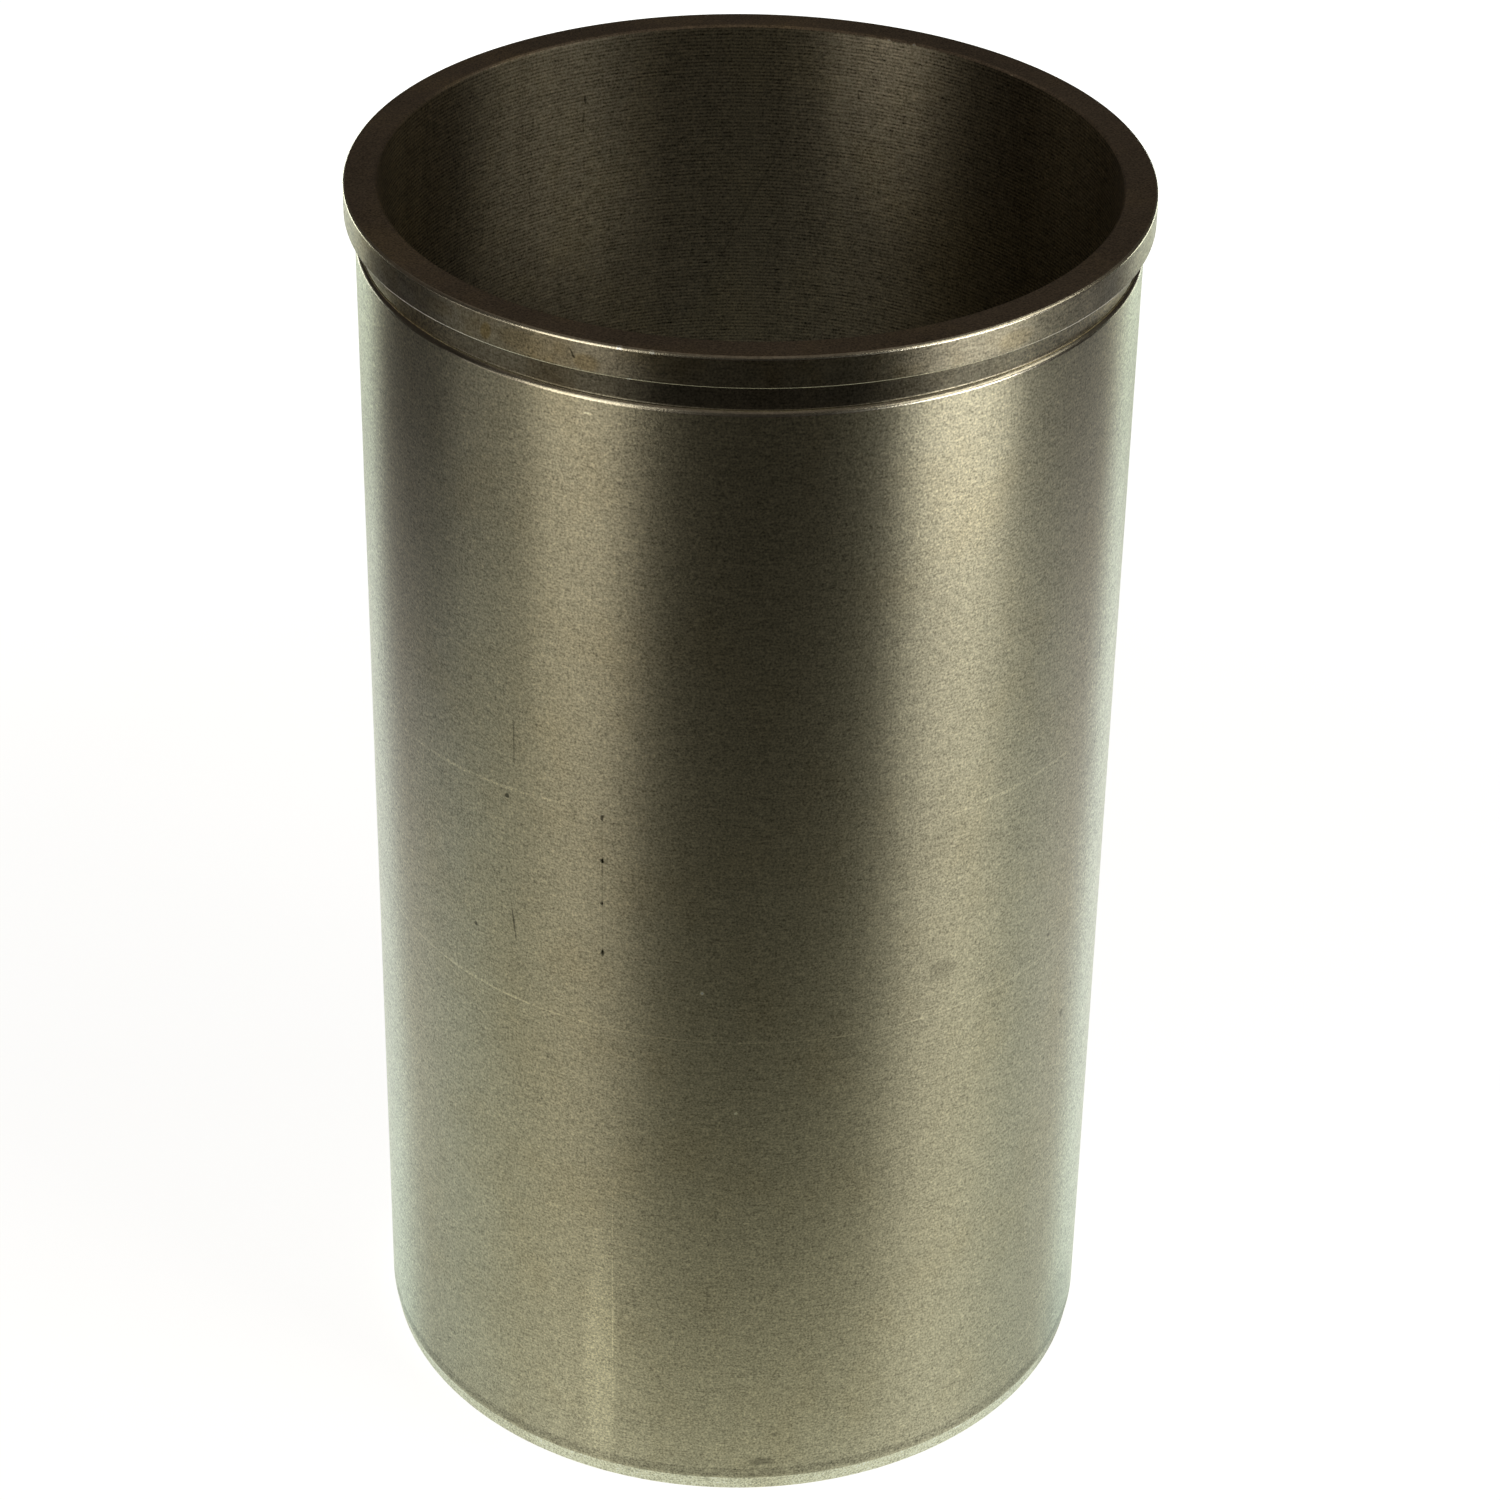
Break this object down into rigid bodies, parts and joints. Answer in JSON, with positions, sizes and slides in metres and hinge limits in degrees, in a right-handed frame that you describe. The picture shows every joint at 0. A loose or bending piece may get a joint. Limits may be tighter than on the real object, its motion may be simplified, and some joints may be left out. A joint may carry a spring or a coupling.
{
  "type": "cylinder liner",
  "caption": "Dry flanged cylinder liner: a thin iron sleeve with a locating flange, a grinding relief under it, a ground body, a lead-in taper and a straight bore.",
  "frame": {"origin": "centre of the lower end face, on the bore axis", "axes": "+Z along the bore axis towards the flange and the cylinder head; X and Y are equal because the part is round"},
  "size_m": [0.1092, 0.1092, 0.187],
  "materials": {
    "liner_iron": "satin, finely ground outside and turned inside, slightly dull with oil"
  },
  "bodies": {
    "root": {"liner_sleeve": "liner_iron"}
  },
  "joints": []
}
